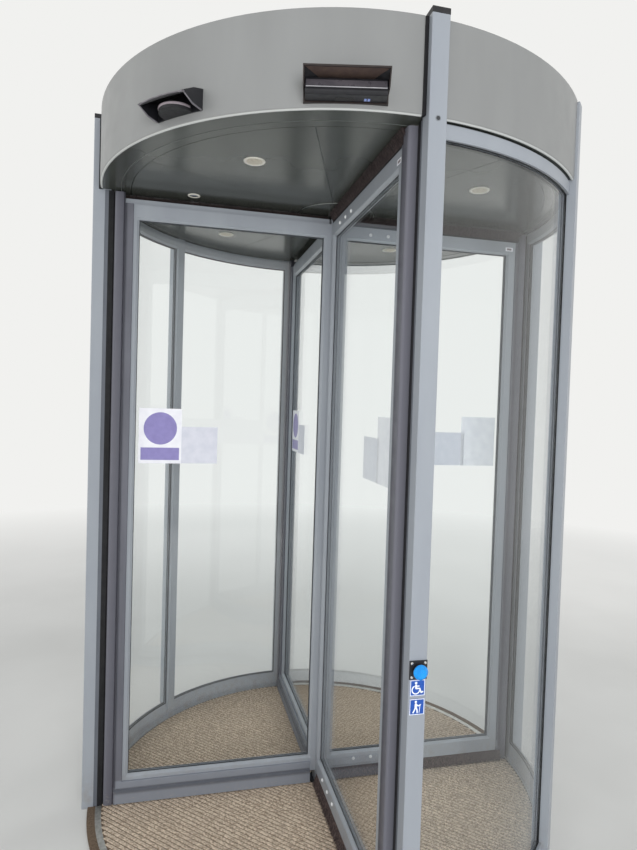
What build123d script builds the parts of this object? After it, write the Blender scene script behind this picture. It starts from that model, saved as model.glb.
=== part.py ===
from build123d import *
from math import cos, sin, radians
import os

# Four-wing automatic revolving door, free of its facade.
# Lengths in millimetres, +Z up. The origin is on the floor at the axis of the drum.
# The front, seen from the street, looks along -Y. Angles are counted anticlockwise from +X.

os.makedirs("parts", exist_ok=True)

# Driving dimensions
clear_height = 2300
canopy_height = 256
inner_radius = 846
wall_depth = 46
rest_angle = 44.25
outer_radius = inner_radius + wall_depth

# Walls of the drum: corner posts beside the passages, middle posts on the facade line
post_angle = 45.75
post_width = 50
post_set_back = 10
post_stand_out = 26
post_inner_radius = inner_radius + post_set_back
post_outer_radius = outer_radius + post_stand_out
post_seal_radius = post_inner_radius + 21
post_seal_depth = 6
post_seal_width = 25
post_edge = 1.5
post_height = clear_height + canopy_height - 4
cap_height = 16
facade_front = -2
facade_depth = 44
facade_back = facade_front + facade_depth
middle_post_radius = outer_radius + 8
middle_post_edge = 1

# Curved rails and panes between the posts
rail_set_in = 13
rail_outer_radius = outer_radius - rail_set_in
bottom_rail_height = 80
bottom_rail_lip = 16
bottom_rail_step = 3
top_rail_height = 45
top_rail_slope = 8
top_rail_groove = 6
top_rail_groove_depth = 8
wall_glass = 8
wall_bead = 4
glass_inner_radius = rail_outer_radius - 19
glass_outer_radius = glass_inner_radius + wall_glass
glass_seat = 10

# Canopy
fascia_sheet = 4
fascia_lip = 8
fascia_bend = 5
fascia_gap = 9
fascia_seal_in = 4
fascia_seal_out = 6
lip_sheet = 3
fascia_inner_radius = outer_radius - fascia_sheet
fascia_top = clear_height + canopy_height
ceiling_sheet = 6
ceiling_z = clear_height + lip_sheet
ceiling_top = ceiling_z + ceiling_sheet
soffit_width = 102
soffit_inner_radius = fascia_inner_radius - soffit_width
panel_gap = 2
panel_count = 8
panel_turn = 2.5
cover_radius = 150
cover_sheet = 2
cover_overlap = 12
beam_width = 40
beam_height = 50
drive_plate_width = 360
drive_plate_sheet = 10
drive_box_width = 200
drive_height = 130
roof_sheet = 4
roof_drop = 8
roof_sides = 32
lamp_inset = 255
lamp_circle_radius = inner_radius - lamp_inset
lamp_radius = 34.5
lamp_middle_angle = -45
lamp_spread = 41.7
detector_inset = 283
detector_circle_radius = inner_radius - detector_inset
detector_radius = 23
detector_angle = 49.5

# Floor
mat_thickness = 5
ring_width = 38
ring_outer_radius = inner_radius + ring_width
ring_thickness = 6
bearing_width = 84
bearing_height = 8
bearing_floor = 2

# Rotor
clearance = 5
half_frame = 20
column_half = half_frame + 2
inner_stile_width = 28
outer_stile_width = 60
wing_bottom_rail_height = 61
wing_top_rail_height = 54
inner_stile_end = column_half + inner_stile_width
seal_outer = inner_radius - clearance
seal_reach = 26
outer_stile_end = seal_outer - seal_reach
outer_stile_start = outer_stile_end - outer_stile_width
wing_bottom = 52
bottom_rail_top = wing_bottom + wing_bottom_rail_height
wing_headroom = 41
wing_top = clear_height - wing_headroom
top_rail_bottom = wing_top - wing_top_rail_height
wing_glass = 10
wing_groove = 8
wing_bead_width = 8
wing_bead_depth = 8
seal_bulb_width = 36
seal_flange_width = 30
seal_flange = 8
seal_bulb = 14
seal_valley = 2
seal_valley_width = 3
seal_back = 5
seal_back_width = 22
seal_corner = 9
seal_crest = 5
seal_bottom = mat_thickness + clearance + 1
seal_foot_bulb = 51
brush_start = bearing_width / 2 + 2
brush_holder = 22
brush_holder_foot = 8
brush_holder_back = -10
brush_holder_front = 9
brush_front = 2
brush_back = -8
brush_setback = 6
brush_top = ceiling_z - cover_sheet - clearance
seal_top = brush_top
skirt_back = -16
skirt_front = 4
pin_radius = 12
pin_play = 0.3
seat_gap = 0.2
spindle_radius = 18
spindle_engagement = 100
spindle_top = ceiling_top + spindle_engagement

# Round motion sensor under a wedge hood, and bar sensor under a rain hood
radar_angle = 269.9
radar_hood_width = 166
radar_hood_low = clear_height + 25
radar_hood_back = 58
radar_hood_reach = 73
radar_hood_nose = 25
radar_hood_rim = 5
radar_hood_bow = 5
radar_hood_belly = 6
hood_sheet = 3
radar_head_radius = 50
radar_head_offset = 7
radar_head_height = 16
radar_head_edge = 5
bar_angle = 300.7
rain_hood_width = 218
rain_hood_low = clear_height + 35
rain_hood_height = 38
rain_hood_reach = 73
rain_hood_rim = 5
rain_hood_rake = 25
rain_hood_base = 5
bar_width = 208
bar_low = clear_height + 16
bar_height = 46
bar_depth = 48
bar_nose = 7
bar_lean = 16
bar_round = 5

# Push button for slow running
button_height = 848
button_plate_sheet = 3
button_boss = 5
button_boss_radius = 13
button_radius = 20
button_rim = 4
button_crown = 9
button_bevel = 8
button_travel = 4
button_stem_radius = 8
button_stem_length = 14
sign_width = 42
sign_height = 43
sign_gap = 8
sign_sheet = 1.5
sign_corner = 3
sign_margin = 2


def bay_outline(start, start_offset, end, end_offset):
    """Corners of the plan between two radial lines, each shifted sideways by its offset."""
    along = [(cos(radians(a)), sin(radians(a))) for a in (start, end)]
    across = [(-y, x) for x, y in along]
    (ux, uy), (vx, vy) = along
    dx = across[1][0] * end_offset - across[0][0] * start_offset
    dy = across[1][1] * end_offset - across[0][1] * start_offset
    reach = (dx * vy - dy * vx) / (ux * vy - uy * vx)
    apex_x = across[0][0] * start_offset + ux * reach
    apex_y = across[0][1] * start_offset + uy * reach
    far = 2 * outer_radius
    first = (apex_x + far * ux, apex_y + far * uy)
    corner = (apex_x + far * (ux + vx), apex_y + far * (uy + vy))
    last = (apex_x + far * vx, apex_y + far * vy)
    return [(apex_x, apex_y), first, corner, last]


def side_plans(seat):
    """Plans of the two bays of the right wall, each reaching into its posts by the seat."""
    before = bay_outline(-post_angle, post_width - seat, 0, facade_front + seat)
    behind = bay_outline(0, facade_back - seat, post_angle, seat - post_width)
    return [before, behind]


def strip_plan(angle, width):
    """Plan of a straight strip that runs outward from the axis."""
    ux, uy = cos(radians(angle)), sin(radians(angle))
    far, half = 2 * outer_radius, width / 2
    right, left = (uy * half, -ux * half), (-uy * half, ux * half)
    far_right = (right[0] + far * ux, right[1] + far * uy)
    far_left = (left[0] + far * ux, left[1] + far * uy)
    return [right, far_right, far_left, left]


def curved(section, plans, *mirrors):
    """A piece of the drum: a section of radius and height turned round the axis, cut to its plans."""
    with BuildPart() as piece:
        with BuildSketch(Plane.XZ):
            Polygon(*section, align=None)
        revolve(axis=Axis.Z)
        with BuildSketch():
            for plan in plans:
                Polygon(*plan, align=None)
        extrude(amount=2 * clear_height, mode=Mode.INTERSECT)
        for plane in mirrors:
            mirror(about=plane)
    return piece.part


def bar(near, far, right, left, low, high, mode=Mode.ADD):
    """A straight bar given by its limits: along the radius, across it and in height."""
    with Locations((near, right, low)):
        Box(far - near, left - right, high - low, align=(Align.MIN, Align.MIN, Align.MIN), mode=mode)


def turned(angle):
    """The frame of one radius: x outward along it, y anticlockwise."""
    return PolarLocations(0, 1, start_angle=angle)


def radial_plane(angle):
    """The upright plane through the axis and one radius: x outward, y up."""
    a = radians(angle)
    return Plane(origin=(0, 0, 0), x_dir=(cos(a), sin(a), 0), z_dir=(sin(a), -cos(a), 0))


def save(part, name):
    part.label = name
    export_step(part, f"parts/{name}.step")


front_plans = [bay_outline(180 + post_angle, 0, 360 - post_angle, 0)]
front_sheet_plans = [bay_outline(180 + post_angle, fascia_gap, 360 - post_angle, -fascia_gap)]

# Floor: entrance mat, a metal ring in the two passages, the bearing at the centre
ring_section = [
    (inner_radius, 0),
    (ring_outer_radius, 0),
    (ring_outer_radius, ring_thickness),
    (inner_radius, ring_thickness),
]
save(curved(ring_section, front_plans, Plane.XZ), "threshold_rings")

with BuildPart() as floor_mat:
    Cylinder(inner_radius, mat_thickness, align=(Align.CENTER, Align.CENTER, Align.MIN))
    Box(bearing_width, bearing_width, 3 * mat_thickness, mode=Mode.SUBTRACT)
save(floor_mat.part, "floor_mat")

with BuildPart() as floor_bearing:
    Box(bearing_width, bearing_width, bearing_height, align=(Align.CENTER, Align.CENTER, Align.MIN))
    with Locations((0, 0, bearing_height)):
        Hole(pin_radius + pin_play, depth=bearing_height - bearing_floor)
save(floor_bearing.part, "floor_bearing")

# Curved rails and panes of the two walls
bottom_rail_section = [
    (inner_radius, 0),
    (rail_outer_radius, 0),
    (rail_outer_radius, bottom_rail_height),
    (glass_outer_radius, bottom_rail_height),
    (glass_outer_radius, bottom_rail_height - glass_seat),
    (glass_inner_radius, bottom_rail_height - glass_seat),
    (glass_inner_radius, bottom_rail_height),
    (glass_inner_radius - wall_bead, bottom_rail_height),
    (inner_radius + bottom_rail_step, bottom_rail_lip),
    (inner_radius, bottom_rail_lip),
]
top_rail_low = clear_height - top_rail_height
top_rail_section = [
    (inner_radius, clear_height),
    (inner_radius, top_rail_low + top_rail_slope),
    (glass_inner_radius - wall_bead, top_rail_low),
    (glass_inner_radius, top_rail_low),
    (glass_inner_radius, top_rail_low + glass_seat),
    (glass_outer_radius, top_rail_low + glass_seat),
    (glass_outer_radius, top_rail_low),
    (rail_outer_radius, top_rail_low),
    (rail_outer_radius, clear_height - top_rail_groove),
    (rail_outer_radius - top_rail_groove_depth, clear_height - top_rail_groove),
    (rail_outer_radius - top_rail_groove_depth, clear_height),
]
pane_low = bottom_rail_height - glass_seat
pane_high = top_rail_low + glass_seat
pane_section = [
    (glass_inner_radius, pane_low),
    (glass_outer_radius, pane_low),
    (glass_outer_radius, pane_high),
    (glass_inner_radius, pane_high),
]
save(curved(bottom_rail_section, side_plans(0), Plane.YZ), "bottom_rails")
save(curved(top_rail_section, side_plans(0), Plane.YZ), "top_rails")
wall_panes = curved(pane_section, side_plans(glass_seat), Plane.YZ)
save(wall_panes, "wall_glass")

# Corner posts: a recess beside the passage holds the seal, a groove in the other side the pane
with BuildPart() as corner_posts:
    with BuildSketch() as section:
        with turned(-post_angle):
            Polygon(
                (post_seal_radius, 0),
                (post_outer_radius, 0),
                (post_outer_radius, post_width),
                (post_inner_radius, post_width),
                (post_inner_radius, post_seal_depth),
                (post_seal_radius, post_seal_depth),
                align=None,
            )
        outer_corners = section.vertices().sort_by_distance((0, 0, 0))[-2:]
        chamfer(outer_corners, length=post_edge)
    extrude(amount=post_height)
    mirror(about=Plane.YZ)
    mirror(about=Plane.XZ)
    add(wall_panes, mode=Mode.SUBTRACT)
    with turned(-post_angle):
        with Locations(Location((post_outer_radius, post_width / 2, button_height), (0, 90, 0))):
            Hole(button_stem_radius + 1, depth=button_stem_length + button_travel + clearance)
save(corner_posts.part, "corner_posts")

with BuildPart() as post_caps:
    with turned(-post_angle):
        bar(post_inner_radius, post_outer_radius, 0, post_width, post_height, post_height + cap_height)
    mirror(about=Plane.YZ)
    mirror(about=Plane.XZ)
save(post_caps.part, "post_caps")

with BuildPart() as post_seals:
    with BuildSketch(Plane.XY.offset(ring_thickness)):
        with turned(-post_angle):
            Polygon(
                (inner_radius, 1),
                (post_seal_radius, 1),
                (post_seal_radius, post_seal_depth),
                (post_inner_radius, post_seal_depth),
                (post_inner_radius, post_seal_width),
                (inner_radius, post_seal_width),
                align=None,
            )
    extrude(amount=clear_height - ring_thickness)
    with turned(-post_angle):
        near, far = fascia_inner_radius - fascia_seal_in, outer_radius + fascia_seal_out
        bar(near, far, -fascia_gap, 0, clear_height, post_height)
    mirror(about=Plane.YZ)
    mirror(about=Plane.XZ)
save(post_seals.part, "post_seals")

with BuildPart() as middle_posts:
    bar(inner_radius, middle_post_radius, facade_front, facade_back, 0, post_height)
    chamfer(middle_posts.edges().filter_by(Axis.Z), length=middle_post_edge)
    mirror(about=Plane.YZ)
    add(wall_panes, mode=Mode.SUBTRACT)
save(middle_posts.part, "middle_posts")

with BuildPart() as post_room:
    with turned(-post_angle):
        bar(post_inner_radius, post_outer_radius, 0, post_width, 0, 2 * clear_height)
        bar(fascia_inner_radius - fascia_seal_in, post_outer_radius, -fascia_gap, 0, 0, 2 * clear_height)
    mirror(about=Plane.XZ)
    bar(inner_radius, middle_post_radius, facade_front, facade_back, 0, 2 * clear_height)
    mirror(about=Plane.YZ)

# Fascia sheets, folded inward along the lower edge
fascia_section = [
    (outer_radius - fascia_lip, clear_height),
    (outer_radius - fascia_bend, clear_height),
    (outer_radius, clear_height + fascia_bend),
    (outer_radius, fascia_top),
    (fascia_inner_radius, fascia_top),
    (fascia_inner_radius, ceiling_z),
    (outer_radius - fascia_lip, ceiling_z),
]
save(curved(fascia_section, front_sheet_plans, Plane.XZ), "passage_fascias")
save(curved(fascia_section, side_plans(0), Plane.YZ), "side_fascias")

# Ceiling: soffit ring, radial panels, centre cover, lamps and detectors
with BuildPart() as soffit_ring:
    with BuildSketch(Plane.XY.offset(ceiling_z)):
        Circle(fascia_inner_radius)
        Circle(soffit_inner_radius, mode=Mode.SUBTRACT)
    extrude(amount=ceiling_sheet)
    add(post_room.part, mode=Mode.SUBTRACT)
save(soffit_ring.part, "soffit_ring")

sector = 360 / panel_count
with BuildPart() as ceiling_panels:
    for index in range(panel_count):
        start = panel_turn + (index - 0.5) * sector
        with BuildSketch(Plane.XY.offset(ceiling_z)):
            Circle(soffit_inner_radius - panel_gap)
            Circle(cover_radius - cover_overlap, mode=Mode.SUBTRACT)
            outline = bay_outline(start, panel_gap / 2, start + sector, -panel_gap / 2)
            Polygon(*outline, align=None, mode=Mode.INTERSECT)
        extrude(amount=ceiling_sheet)
save(ceiling_panels.part, "ceiling_panels")

with BuildPart() as centre_cover:
    with BuildSketch(Plane.XY.offset(ceiling_z - cover_sheet)):
        Circle(cover_radius)
        Circle(spindle_radius + clearance + 1, mode=Mode.SUBTRACT)
    extrude(amount=cover_sheet)
save(centre_cover.part, "centre_cover")


def discs(circle_radius, disc_radius, *angles):
    """Flat trims under the ceiling, an opposite pair on one circle for each angle."""
    with BuildPart() as trims:
        with BuildSketch(Plane.XY.offset(ceiling_z - cover_sheet)):
            for angle in angles:
                with PolarLocations(circle_radius, 2, start_angle=angle):
                    Circle(disc_radius)
        extrude(amount=cover_sheet)
    return trims.part


lamp_angles = (lamp_middle_angle - lamp_spread, lamp_middle_angle + lamp_spread)
save(discs(lamp_circle_radius, lamp_radius, *lamp_angles), "downlights")
save(discs(detector_circle_radius, detector_radius, detector_angle), "ceiling_detectors")

# Canopy inside: beams over the panel joints, drive unit, roof sheet
with BuildPart() as canopy_beams:
    near, far, half = drive_plate_width * 0.75, fascia_inner_radius - roof_drop, beam_width / 2
    for index in range(panel_count):
        with turned(panel_turn + (index + 0.5) * sector):
            bar(near, far, -half, half, ceiling_top, ceiling_top + beam_height)
save(canopy_beams.part, "canopy_beams")

with BuildPart() as drive_unit:
    with BuildSketch(Plane.XY.offset(ceiling_top)):
        Rectangle(drive_plate_width, drive_plate_width)
    extrude(amount=drive_plate_sheet)
    with BuildSketch(Plane.XY.offset(ceiling_top)):
        Rectangle(drive_box_width, drive_box_width)
    extrude(amount=drive_height)
    with BuildSketch(Plane.XY.offset(ceiling_top)):
        Circle(spindle_radius + pin_play)
    extrude(amount=spindle_top - ceiling_top + clearance, mode=Mode.SUBTRACT)
save(drive_unit.part, "drive_unit")

with BuildPart() as canopy_roof:
    with BuildSketch(Plane.XY.offset(fascia_top - roof_drop - roof_sheet)):
        RegularPolygon(radius=fascia_inner_radius, side_count=roof_sides)
    extrude(amount=roof_sheet)
    add(post_room.part, mode=Mode.SUBTRACT)
save(canopy_roof.part, "canopy_roof")

# Motion sensor on the front fascia: a wedge hood, open below, over a round head
radar_hood_top = radar_hood_low + radar_hood_back
radar_nose_top = radar_hood_low + radar_hood_nose
radar_nose_low = radar_nose_top - radar_hood_rim
radar_middle = outer_radius + radar_hood_reach / 2
radar_reach = outer_radius + radar_hood_reach
bowed_top = (radar_hood_top + radar_nose_top) / 2 + radar_hood_bow
belly = (radar_hood_low + radar_nose_low) / 2 - radar_hood_belly
hood_section = [
    (outer_radius, radar_hood_low),
    (outer_radius, radar_hood_top),
    (radar_middle, bowed_top),
    (radar_reach, radar_nose_top),
    (radar_reach, radar_nose_low),
    (radar_middle, belly),
]
hood_room_section = [
    (outer_radius + hood_sheet, radar_hood_low - hood_sheet),
    (outer_radius + hood_sheet, radar_hood_top - 1.5 * hood_sheet),
    (radar_middle, bowed_top - 1.2 * hood_sheet),
    (radar_reach - hood_sheet, radar_nose_top - hood_sheet),
    (radar_reach - hood_sheet, radar_hood_low - hood_sheet),
]
hood_room = curved(hood_room_section, [strip_plan(radar_angle, radar_hood_width - 2 * hood_sheet)])
with BuildPart() as radar_hood:
    add(curved(hood_section, [strip_plan(radar_angle, radar_hood_width)]))
    add(hood_room, mode=Mode.SUBTRACT)
save(radar_hood.part, "radar_hood")

with BuildPart() as radar_head:
    with turned(radar_angle):
        with Locations((outer_radius + radar_head_offset, 0, radar_hood_low)):
            Cylinder(radar_head_radius, radar_head_height, align=(Align.CENTER, Align.CENTER, Align.MIN))
    chamfer(radar_head.edges().group_by(Axis.Z)[-1], length=radar_head_edge)
    Cylinder(outer_radius + hood_sheet, 3 * clear_height, mode=Mode.SUBTRACT)
save(radar_head.part, "radar_head")

# Bar sensor on the front fascia: a rain hood with a base plate, over a rounded body
bar_plane = radial_plane(bar_angle)
bar_back = outer_radius + rain_hood_base
rain_hood_top = rain_hood_low + rain_hood_height
rain_reach = outer_radius + rain_hood_reach
rain_room_half = rain_hood_width / 2 - hood_sheet
with BuildPart() as rain_hood:
    with BuildSketch(bar_plane):
        Polygon(
            (outer_radius - wall_depth, bar_low - hood_sheet),
            (outer_radius - wall_depth, rain_hood_top),
            (rain_reach, rain_hood_top),
            (rain_reach, rain_hood_top - rain_hood_rim),
            (rain_reach - rain_hood_rake, rain_hood_low),
            (bar_back, rain_hood_low),
            (bar_back, bar_low - hood_sheet),
            align=None,
        )
    extrude(amount=rain_hood_width / 2, both=True)
    with BuildSketch(bar_plane):
        Polygon(
            (bar_back, rain_hood_low - hood_sheet),
            (bar_back, rain_hood_top - hood_sheet),
            (rain_reach - hood_sheet, rain_hood_top - hood_sheet),
            (rain_reach - hood_sheet, rain_hood_top - rain_hood_rim),
            (2 * rain_reach, rain_hood_top - rain_hood_rim),
            (2 * rain_reach, rain_hood_low - hood_sheet),
            align=None,
        )
    extrude(amount=rain_room_half, both=True, mode=Mode.SUBTRACT)
    Cylinder(outer_radius, 3 * clear_height, mode=Mode.SUBTRACT)
save(rain_hood.part, "rain_hood")

bar_top = bar_low + bar_height
bar_face = outer_radius + bar_depth
with BuildPart() as bar_sensor:
    with BuildSketch(bar_plane) as section:
        Polygon(
            (bar_back, bar_low),
            (bar_face - bar_nose, bar_low),
            (bar_face, bar_low + bar_nose),
            (bar_face - bar_lean, bar_top),
            (bar_back, bar_top),
            align=None,
        )
        nose = section.vertices().sort_by(Axis.X)[-3:]
        fillet(nose, radius=bar_round)
    extrude(amount=bar_width / 2, both=True)
save(bar_sensor.part, "bar_sensor")

# Button plate and pictogram plates on the right front post
button_face = post_outer_radius + button_plate_sheet
with BuildPart() as button_plate:
    with turned(-post_angle):
        low = button_height - post_width / 2
        bar(post_outer_radius, button_face, 0, post_width, low, low + post_width)
        with Locations(Location((button_face, post_width / 2, button_height), (0, 90, 0))):
            Cylinder(button_boss_radius, button_boss, align=(Align.CENTER, Align.CENTER, Align.MIN))
        with Locations(Location((button_face + button_boss, post_width / 2, button_height), (0, 90, 0))):
            Hole(button_stem_radius + seat_gap, depth=button_boss + button_plate_sheet)
save(button_plate.part, "button_plate")

with BuildPart() as pictogram_plates:
    with turned(-post_angle):
        right = (post_width - sign_width) / 2
        for index in range(2):
            high = button_height - post_width / 2 - sign_margin - index * (sign_height + sign_gap)
            low = high - sign_height
            bar(post_outer_radius, post_outer_radius + sign_sheet, right, right + sign_width, low, high)
    outward_axis = Axis((0, 0, 0), radial_plane(-post_angle).x_dir)
    chamfer(pictogram_plates.edges().filter_by(outward_axis), length=sign_corner)
save(pictogram_plates.part, "pictogram_plates")

with BuildPart() as push_button:
    head_back = button_face + button_boss + button_travel + clearance
    stem_end = post_outer_radius - button_stem_length
    on_base = (Align.CENTER, Align.CENTER, Align.MIN)
    with turned(-post_angle):
        with Locations(Location((stem_end, post_width / 2, button_height), (0, 90, 0))):
            Cylinder(button_stem_radius, head_back - stem_end, align=on_base)
        with Locations(Location((head_back, post_width / 2, button_height), (0, 90, 0))):
            Cylinder(button_radius, button_rim, align=on_base)
        with Locations(Location((head_back + button_rim, post_width / 2, button_height), (0, 90, 0))):
            Cone(button_radius, button_radius - button_bevel, button_crown, align=on_base)
save(push_button.part, "push_button")

# Rotor: square column with a pin below and a spindle above
column_top = wing_top + brush_holder
with BuildPart() as centre_column:
    with turned(rest_angle):
        bar(-column_half, column_half, -column_half, column_half, bearing_height + seat_gap, column_top)
    with BuildSketch(Plane.XY.offset(column_top)):
        Circle(spindle_radius)
    extrude(amount=spindle_top - column_top)
    with BuildSketch(Plane.XY.offset(2 * bearing_floor)):
        Circle(pin_radius)
    extrude(amount=bearing_height)
save(centre_column.part, "centre_column")


def wing_plane(angle, face):
    """The plane of one face of a wing: x outward along the wing, y up or down, z off the face."""
    a = radians(angle)
    return Plane(origin=(0, 0, 0), x_dir=(cos(a), sin(a), 0), z_dir=(-face * sin(a), face * cos(a), 0))


def glaze(angle, mode):
    """The pane in its grooves: added as glass, or taken out of the frame."""
    with turned(angle):
        bar(
            inner_stile_end - wing_groove,
            outer_stile_start + wing_groove,
            -wing_glass / 2,
            wing_glass / 2,
            bottom_rail_top - wing_groove,
            top_rail_bottom + wing_groove,
            mode,
        )


def bead_slopes(angle):
    """The room in front of the mitred glazing beads, on both faces of a wing."""
    sight_width = outer_stile_start - inner_stile_end
    sight_height = top_rail_bottom - bottom_rail_top
    middle_radius = (outer_stile_start + inner_stile_end) / 2
    middle_height = (top_rail_bottom + bottom_rail_top) / 2
    with BuildPart() as slopes:
        for face in (-1, 1):
            plane = wing_plane(angle, face)
            middle = (middle_radius, -face * middle_height)
            with BuildSketch(plane.offset(half_frame - wing_bead_depth)):
                with Locations(middle):
                    Rectangle(sight_width, sight_height)
            with BuildSketch(plane.offset(half_frame)):
                with Locations(middle):
                    Rectangle(sight_width + 2 * wing_bead_width, sight_height + 2 * wing_bead_width)
            loft()
    return slopes.part


def wing_frame(angle, bars):
    """Two bars of a wing's frame, each given by its reach along the wing and in height."""
    with BuildPart() as frame:
        with turned(angle):
            for near, far, low, high in bars:
                bar(near, far, -half_frame, half_frame, low, high)
        glaze(angle, Mode.SUBTRACT)
        add(bead_slopes(angle), mode=Mode.SUBTRACT)
    return frame.part


def edge_profile(edge, inward, bulb):
    """Outline of the safety edge from its outer limit inward: bulb, valley and flange, over the frame."""
    bulb_face = half_frame + seal_bulb
    flange_face = half_frame + seal_flange
    valley_face = flange_face - seal_valley
    foot_of_bulb = edge + inward * bulb
    far_edge = foot_of_bulb + inward * seal_flange_width
    return [
        (edge, bulb_face),
        (foot_of_bulb - inward * seal_crest, bulb_face),
        (foot_of_bulb, valley_face),
        (foot_of_bulb + inward * seal_valley_width, valley_face),
        (foot_of_bulb + inward * seal_crest, flange_face),
        (far_edge - inward * seal_valley, flange_face),
        (far_edge, valley_face),
        (far_edge, half_frame),
    ]


def wing_seal(angle):
    """Rubber safety edge: an upright leg and a foot, their flanges mitred, in one piece."""
    a = radians(angle)
    outward, across = (cos(a), sin(a), 0), (-sin(a), cos(a), 0)
    foot_top = seal_bottom + seal_foot_bulb
    mitre_out = seal_outer - seal_bulb_width
    mitre_in = mitre_out - seal_flange_width
    back_face = half_frame + seal_back
    back_start = outer_stile_end - seal_back_width
    face_plane = wing_plane(angle, -1).offset(-half_frame)
    with BuildPart() as upright:
        with BuildSketch(Plane(origin=(0, 0, seal_bottom), x_dir=outward, z_dir=(0, 0, 1))) as section:
            Polygon(
                *edge_profile(seal_outer, -1, seal_bulb_width),
                (outer_stile_end, half_frame),
                (outer_stile_end, -half_frame),
                (back_start, -half_frame),
                (back_start, seal_valley - back_face),
                (back_start + seal_valley, -back_face),
                (seal_outer, -back_face),
                align=None,
            )
            fillet(section.vertices().sort_by(Axis.X)[-2:], radius=seal_corner)
        extrude(amount=seal_top - seal_bottom)
        with turned(angle):
            bar(0, mitre_out, -2 * half_frame, 2 * half_frame, wing_top, seal_top, Mode.SUBTRACT)
            bar(0, outer_stile_end, -2 * half_frame, -half_frame, seal_bottom, wing_bottom, Mode.SUBTRACT)
        with BuildSketch(face_plane):
            Polygon(
                (mitre_in, foot_top),
                (mitre_out, foot_top),
                (mitre_in, foot_top + seal_flange_width),
                align=None,
            )
        extrude(amount=-2 * half_frame, mode=Mode.SUBTRACT)
    with BuildPart() as seal:
        foot_start = tuple(brush_start * c for c in outward)
        with BuildSketch(Plane(origin=foot_start, x_dir=across, z_dir=outward)):
            profile = edge_profile(seal_bottom, 1, seal_foot_bulb)
            Polygon((half_frame, seal_bottom), *[(t, z) for z, t in profile], align=None)
        extrude(amount=mitre_out - brush_start)
        with BuildSketch(face_plane):
            Polygon(
                (mitre_out, foot_top),
                (mitre_out, foot_top + 2 * seal_flange_width),
                (mitre_in - seal_flange_width, foot_top + 2 * seal_flange_width),
                align=None,
            )
        extrude(amount=-2 * half_frame, mode=Mode.SUBTRACT)
        add(upright.part)
    return seal.part


def wing_brushes(angle):
    """Bristle strip behind its holder on the top rail, and the skirt under the bottom rail."""
    with BuildPart() as brushes:
        near, far = column_half + brush_setback, outer_stile_end
        foot = wing_top + brush_holder_foot
        with turned(angle):
            bar(near, far, brush_holder_back, brush_front, wing_top, foot)
            bar(near, far, brush_front, brush_holder_front, wing_top, wing_top + brush_holder)
            bar(near, far, brush_back, brush_front, foot, brush_top)
            bar(brush_start, outer_stile_end, skirt_back, skirt_front, seal_bottom, wing_bottom)
    return brushes.part


with BuildPart() as wing_glass_panes:
    for number in range(4):
        glaze(rest_angle + 90 * number, Mode.ADD)
save(wing_glass_panes.part, "wing_glass")

stile_bars = [
    (column_half, inner_stile_end, wing_bottom, wing_top),
    (outer_stile_start, outer_stile_end, wing_bottom, wing_top),
]
rail_bars = [
    (inner_stile_end, outer_stile_start, wing_bottom, bottom_rail_top),
    (inner_stile_end, outer_stile_start, top_rail_bottom, wing_top),
]
for number in range(4):
    angle = rest_angle + 180 + 90 * number
    prefix = f"wing_{number + 1}"
    save(wing_frame(angle, stile_bars), f"{prefix}_stiles")
    save(wing_frame(angle, rail_bars), f"{prefix}_rails")
    save(wing_seal(angle), f"{prefix}_edge_seal")
    save(wing_brushes(angle), f"{prefix}_brushes")
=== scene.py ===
# %% [markdown]
# # An automatic revolving door
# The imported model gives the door's solid parts, in metres, with the floor at height 0 and the drum's
# axis on Z. This lesson dresses them: each cell takes one finish or one family of small parts.

# %% Load the frame
import math

import bmesh
import bpy
from mathutils import Matrix, Vector


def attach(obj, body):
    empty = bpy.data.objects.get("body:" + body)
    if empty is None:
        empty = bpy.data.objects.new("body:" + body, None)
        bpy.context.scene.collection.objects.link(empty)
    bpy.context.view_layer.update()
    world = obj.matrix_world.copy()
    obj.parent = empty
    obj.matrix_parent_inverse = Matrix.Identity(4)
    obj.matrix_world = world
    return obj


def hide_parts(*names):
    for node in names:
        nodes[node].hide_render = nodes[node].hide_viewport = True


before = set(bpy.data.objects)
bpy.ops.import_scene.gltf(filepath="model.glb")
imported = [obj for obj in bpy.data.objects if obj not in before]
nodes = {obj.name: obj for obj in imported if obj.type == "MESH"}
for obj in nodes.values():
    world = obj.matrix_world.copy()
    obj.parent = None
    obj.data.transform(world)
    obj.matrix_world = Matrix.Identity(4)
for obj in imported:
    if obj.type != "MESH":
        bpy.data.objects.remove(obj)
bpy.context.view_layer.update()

# %% [markdown]
# ## The main sizes
# A revolving door is laid out in polar measures: a radius from the axis, an angle anticlockwise from
# the X axis, and a height. Those that the details follow are written here once, in millimetres.

# %% Sizes and places
MM = 0.001
WING_ANGLES = (224.25, 314.25, 44.25, 134.25)
GLASS_INSIDE, GLASS_OUTSIDE = 860.0, 868.0
SIGHT_IN, SIGHT_OUT, SIGHT_LOW, SIGHT_HIGH = 50.0, 755.0, 113.0, 2205.0
WING_FACE, PANE_FACE = 20.0, 5.0
STILE_OUT, WING_LOW, WING_HIGH = 815.0, 52.0, 2259.0
RAIL_TOP, RAIL_HEAD = 80.0, 2255.0
CEILING = 2303.0
POST_ANGLE, POST_WIDTH, POST_FACE = -45.75, 50.0, 918.0
# Each post's angle, and the side of it on which the passage lies.
POSTS = ((POST_ANGLE, 1), (-POST_ANGLE, -1), (180.0 + POST_ANGLE, 1), (180.0 - POST_ANGLE, -1))


def polar(radius, angle, height, across=0.0):
    """A point at a radius and angle, shifted across it (anticlockwise), all in mm and degrees."""
    a = math.radians(angle)
    x = radius * math.cos(a) - across * math.sin(a)
    y = radius * math.sin(a) + across * math.cos(a)
    return Vector((x, y, height)) * MM


def facing(angle, out=1.0, across=0.0):
    """A unit direction at that angle: outwards, or across it."""
    return polar(out / MM, angle, 0.0, across / MM)


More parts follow.
